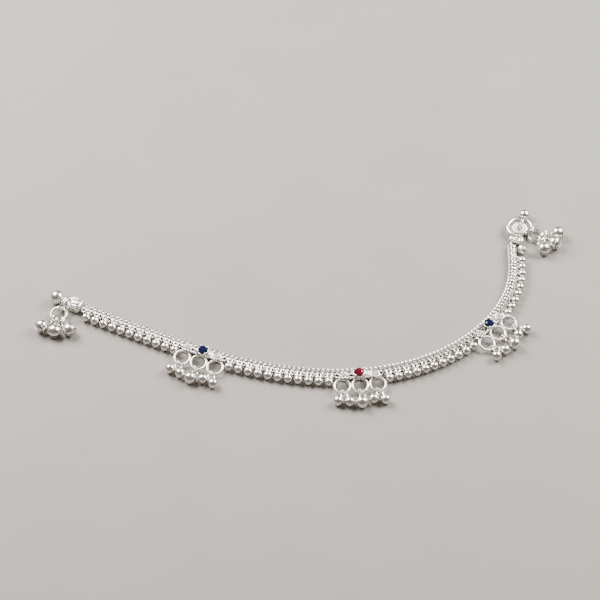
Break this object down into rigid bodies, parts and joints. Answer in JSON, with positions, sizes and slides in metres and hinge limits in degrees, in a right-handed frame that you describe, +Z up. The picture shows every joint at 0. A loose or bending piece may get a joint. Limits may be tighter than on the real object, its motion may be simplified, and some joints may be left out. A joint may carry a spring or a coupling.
{
  "type": "payal anklet",
  "caption": "Woven silver anklet with an edge of round beads, soldered ring motifs with set stones and ball drops, a shell cap, a hook clasp and end bells, laid open",
  "frame": {"origin": "on the resting surface, under the middle of the bounding box", "axes": "+Z up from the surface, +X along the long way from the shell cap to the clasp, -Y toward the beads and drops"},
  "size_m": [0.236, 0.1127, 0.0085],
  "materials": {
    "silver": "bright white silver, polished with a light frost",
    "blue_stone": "faceted deep blue glass stone",
    "red_stone": "faceted ruby red glass stone"
  },
  "bodies": {
    "root": {"chain": "silver", "clasp_hook": "silver", "end_cap": "silver", "left_bell_1": "silver", "left_bell_2": "silver", "left_bell_3": "silver", "left_jump_ring": "silver", "left_link_1": "silver", "left_link_2": "silver", "left_link_3": "silver", "motif_1": "silver", "motif_1_drop_1": "silver", "motif_1_drop_2": "silver", "motif_1_drop_3": "silver", "motif_1_drop_4": "silver", "motif_1_drop_5": "silver", "motif_1_ring_1": "silver", "motif_1_ring_2": "silver", "motif_1_ring_3": "silver", "motif_2": "silver", "motif_2_drop_1": "silver", "motif_2_drop_2": "silver", "motif_2_drop_3": "silver", "motif_2_drop_4": "silver", "motif_2_drop_5": "silver", "motif_2_ring_1": "silver", "motif_2_ring_2": "silver", "motif_2_ring_3": "silver", "motif_3": "silver", "motif_3_drop_1": "silver", "motif_3_drop_2": "silver", "motif_3_drop_3": "silver", "motif_3_drop_4": "silver", "motif_3_drop_5": "silver", "motif_3_ring_1": "silver", "motif_3_ring_2": "silver", "motif_3_ring_3": "silver", "right_bell_1": "silver", "right_bell_2": "silver", "right_bell_3": "silver", "right_jump_ring": "silver", "right_link_1": "silver", "right_link_2": "silver", "right_link_3": "silver", "stone_1": "blue_stone", "stone_2": "red_stone", "stone_3": "blue_stone"}
  },
  "joints": []
}
